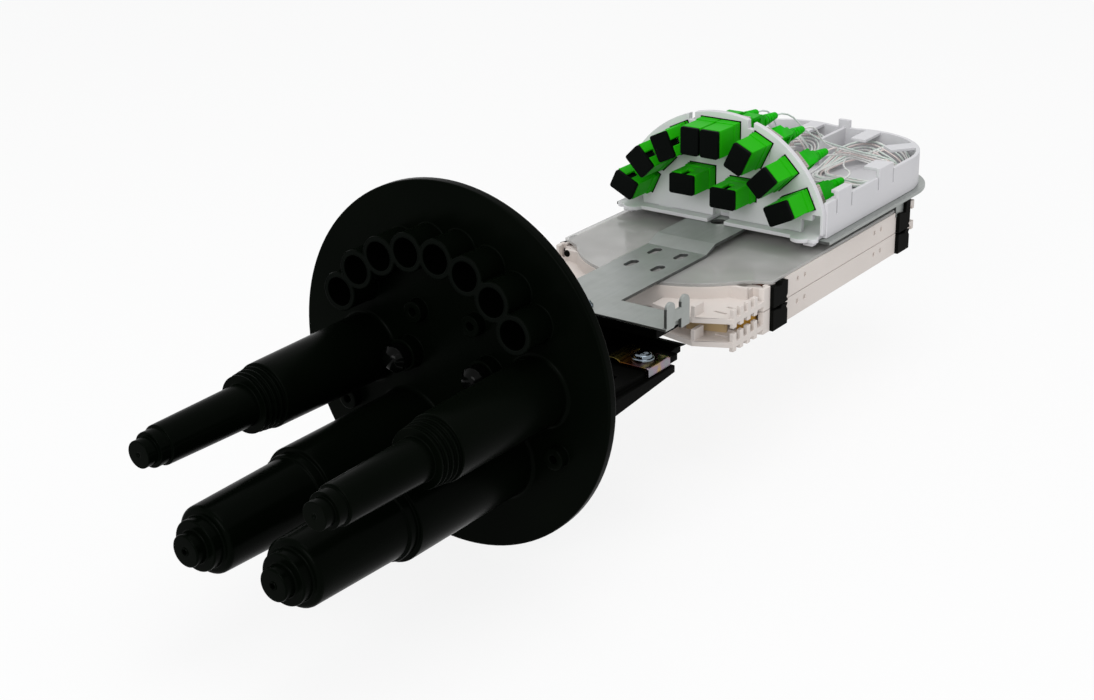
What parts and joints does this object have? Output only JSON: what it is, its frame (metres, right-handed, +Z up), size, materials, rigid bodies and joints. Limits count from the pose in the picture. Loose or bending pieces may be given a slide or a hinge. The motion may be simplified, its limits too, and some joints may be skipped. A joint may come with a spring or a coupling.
{
  "type": "fibre splice closure",
  "caption": "Fibre splice closure without its dome: black port base, metal carrier, stacked splice trays and a patch tray with capped green adapters.",
  "frame": {"origin": "centre of the base disc on its port face", "axes": "+Y along the closure from the base disc to the trays, +Z up, +X to the right seen from the ports"},
  "size_m": [0.15, 0.45, 0.15],
  "materials": {
    "base_black": "glossy black polypropylene",
    "frame_black": "black moulded plastic",
    "cap_black": "black moulded plastic",
    "link_black": "black moulded plastic",
    "bright_zinc": "bright zinc plated steel",
    "yellow_zinc": "yellow passivated zinc plated steel",
    "zinc_sheet": "grey zinc coated sheet steel",
    "spring_steel": "thin spring steel",
    "tray_white": "warm white moulded plastic",
    "patch_white": "cool white moulded plastic",
    "clear_lid": "clear plastic",
    "adapter_green": "green moulded plastic",
    "fibre_white": "white fibre coating"
  },
  "bodies": {
    "closure": {"base_moulding": "base_black", "dome_nuts": "cap_black", "frame_bolts": "bright_zinc", "anchor_frame": "frame_black", "clamp_right": "yellow_zinc", "clamp_left": "yellow_zinc", "clamp_screws": "bright_zinc", "clamp_nuts": "bright_zinc", "carrier_bracket": "zinc_sheet", "bracket_screws": "bright_zinc", "upper_splice_tray": "tray_white", "upper_tray_lid": "clear_lid", "upper_links": "link_black", "patch_tray": "patch_white", "adapter_panel": "patch_white", "adapter_clips": "spring_steel", "pigtails_left": "fibre_white", "pigtails_right": "fibre_white", "coil_left": "fibre_white", "coil_right": "fibre_white", "adapter_1": "adapter_green", "adapter_2": "adapter_green", "adapter_3": "adapter_green", "adapter_4": "adapter_green", "adapter_5": "adapter_green", "adapter_6": "adapter_green", "adapter_7": "adapter_green", "adapter_8": "adapter_green", "adapter_9": "adapter_green", "adapter_10": "adapter_green", "connector_1": "adapter_green", "connector_2": "adapter_green", "connector_3": "adapter_green", "connector_4": "adapter_green", "connector_5": "adapter_green", "connector_6": "adapter_green", "connector_7": "adapter_green", "connector_8": "adapter_green", "connector_9": "adapter_green", "connector_10": "adapter_green"},
    "lower_tray": {"lower_splice_tray": "tray_white", "lower_links": "link_black"},
    "cap_1": {"dust_cap_1": "cap_black"},
    "cap_2": {"dust_cap_2": "cap_black"},
    "cap_3": {"dust_cap_3": "cap_black"},
    "cap_4": {"dust_cap_4": "cap_black"},
    "cap_5": {"dust_cap_5": "cap_black"},
    "cap_6": {"dust_cap_6": "cap_black"},
    "cap_7": {"dust_cap_7": "cap_black"},
    "cap_8": {"dust_cap_8": "cap_black"},
    "cap_9": {"dust_cap_9": "cap_black"},
    "cap_10": {"dust_cap_10": "cap_black"}
  },
  "joints": [
    {"name": "lower_tray_unclip", "type": "slide", "parent": "closure", "child": "lower_tray", "axis": [0, 0, -1], "range_m": [0, 0.06]},
    {"name": "cap_1_pull", "type": "slide", "parent": "closure", "child": "cap_1", "axis": [0, -1, 0], "range_m": [0, 0.03]},
    {"name": "cap_2_pull", "type": "slide", "parent": "closure", "child": "cap_2", "axis": [0, -1, 0], "range_m": [0, 0.03]},
    {"name": "cap_3_pull", "type": "slide", "parent": "closure", "child": "cap_3", "axis": [0, -1, 0], "range_m": [0, 0.03]},
    {"name": "cap_4_pull", "type": "slide", "parent": "closure", "child": "cap_4", "axis": [0, -1, 0], "range_m": [0, 0.03]},
    {"name": "cap_5_pull", "type": "slide", "parent": "closure", "child": "cap_5", "axis": [0, -1, 0], "range_m": [0, 0.03]},
    {"name": "cap_6_pull", "type": "slide", "parent": "closure", "child": "cap_6", "axis": [0, -1, 0], "range_m": [0, 0.03]},
    {"name": "cap_7_pull", "type": "slide", "parent": "closure", "child": "cap_7", "axis": [0, -1, 0], "range_m": [0, 0.03]},
    {"name": "cap_8_pull", "type": "slide", "parent": "closure", "child": "cap_8", "axis": [0, -1, 0], "range_m": [0, 0.03]},
    {"name": "cap_9_pull", "type": "slide", "parent": "closure", "child": "cap_9", "axis": [0, -1, 0], "range_m": [0, 0.03]},
    {"name": "cap_10_pull", "type": "slide", "parent": "closure", "child": "cap_10", "axis": [0, -1, 0], "range_m": [0, 0.03]}
  ]
}
